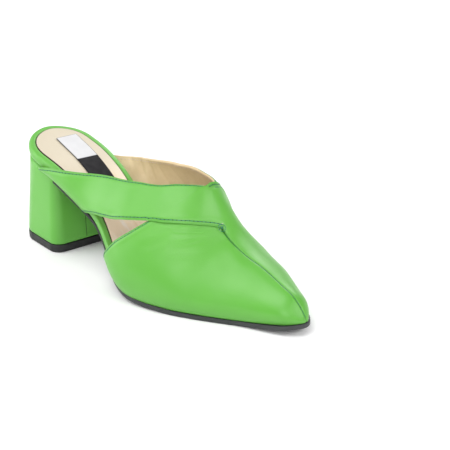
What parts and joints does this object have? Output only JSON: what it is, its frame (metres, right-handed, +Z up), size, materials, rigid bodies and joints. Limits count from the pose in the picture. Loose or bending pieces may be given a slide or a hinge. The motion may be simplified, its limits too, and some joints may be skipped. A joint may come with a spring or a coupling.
{
  "type": "block heel mule",
  "caption": "Pointed slip-on mule with crossed front straps, side cut-outs, covered insole and block heel.",
  "frame": {"origin": "centre of the bounding box on the floor plane under the shoe", "axes": "+X from heel to toe, +Y towards the inner side of this right shoe, +Z up from the floor"},
  "size_m": [0.2382, 0.0906, 0.0733],
  "materials": {
    "green_leather": "smooth satin bright green leather",
    "green_wrap": "smooth satin bright green leather wrapped round a board",
    "beige_lining": "soft beige lining leather with a light sheen",
    "sole_rubber": "matt black sole",
    "green_heel_cover": "smooth satin bright green leather glued over a moulded block",
    "heel_rubber": "matt black hard rubber",
    "plain_plate": "flat woven plate, white at the back and black in front"
  },
  "bodies": {
    "root": {"upper": "green_leather", "covered_insole": "green_wrap", "sock": "beige_lining", "outsole": "sole_rubber", "heel_block": "green_heel_cover", "top_piece": "heel_rubber", "sock_label": "plain_plate"}
  },
  "joints": []
}
